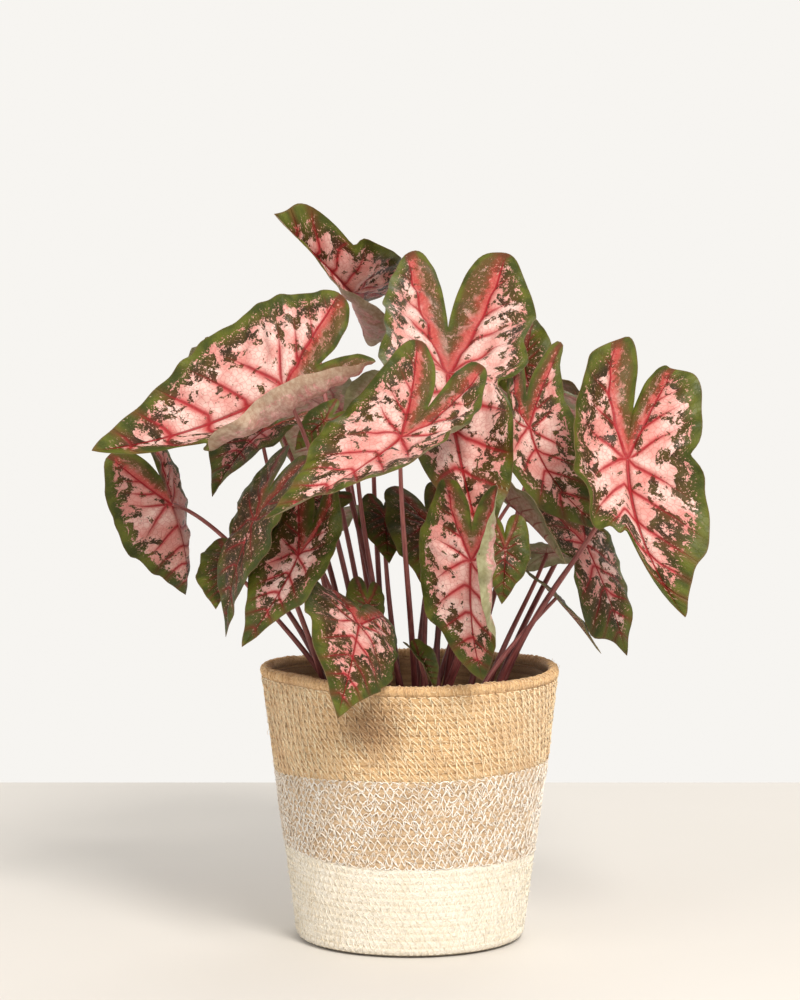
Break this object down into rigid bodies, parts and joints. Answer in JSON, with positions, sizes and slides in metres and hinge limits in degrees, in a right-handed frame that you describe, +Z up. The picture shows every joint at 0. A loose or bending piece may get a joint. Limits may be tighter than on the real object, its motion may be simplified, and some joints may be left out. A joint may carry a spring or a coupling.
{
  "type": "potted caladium",
  "caption": "Caladium with pink, green-edged arrow-shaped leaves, in soil in a nursery pot inside a woven jute basket with cream, stitched and natural bands.",
  "frame": {"origin": "middle of the basket's flat underside", "axes": "+Z up through the leaves, -Y towards the front of the picture, +X to its right"},
  "size_m": [0.378, 0.364, 0.4658],
  "materials": {
    "leaf": "satin",
    "cream_jute": "matte",
    "stitched_jute": "matte",
    "natural_jute": "matte",
    "pot_plastic": "matte",
    "potting_soil": "matte"
  },
  "bodies": {
    "root": {"basket_band_cream": "cream_jute", "basket_band_stitched": "stitched_jute", "basket_band_natural": "natural_jute", "nursery_pot": "pot_plastic", "soil": "potting_soil", "leaf_01_top_curled": "leaf", "leaf_02_broad_left": "leaf", "leaf_03_tall_centre": "leaf", "leaf_04_front_centre": "leaf", "leaf_05_centre_right": "leaf", "leaf_06_broad_right": "leaf", "leaf_07_lower_right": "leaf", "leaf_08_far_left": "leaf", "leaf_09_inner_left": "leaf", "leaf_10_front_low": "leaf", "leaf_11_lower_left": "leaf", "leaf_12_narrow_left": "leaf", "leaf_13_round_left": "leaf", "leaf_14_over_rim": "leaf", "leaf_15_small_green": "leaf", "leaf_16_dark_centre": "leaf", "leaf_17_dark_behind": "leaf", "leaf_18_folded_right": "leaf", "leaf_19_back_low_left": "leaf", "leaf_20_purple_below": "leaf", "leaf_21_edge_on": "leaf", "leaf_22_young": "leaf", "leaf_23_behind_right": "leaf", "leaf_24_pale_behind": "leaf", "leaf_25_dark_inner": "leaf", "leaf_26_green_inner": "leaf", "leaf_27_behind_tip": "leaf", "leaf_28_green_low": "leaf", "leaf_29_back_left": "leaf", "leaf_30_back_broad": "leaf", "leaf_31_back_tall": "leaf", "leaf_32_back_right": "leaf", "leaf_33_right_side": "leaf", "leaf_34_back_low": "leaf"}
  },
  "joints": []
}
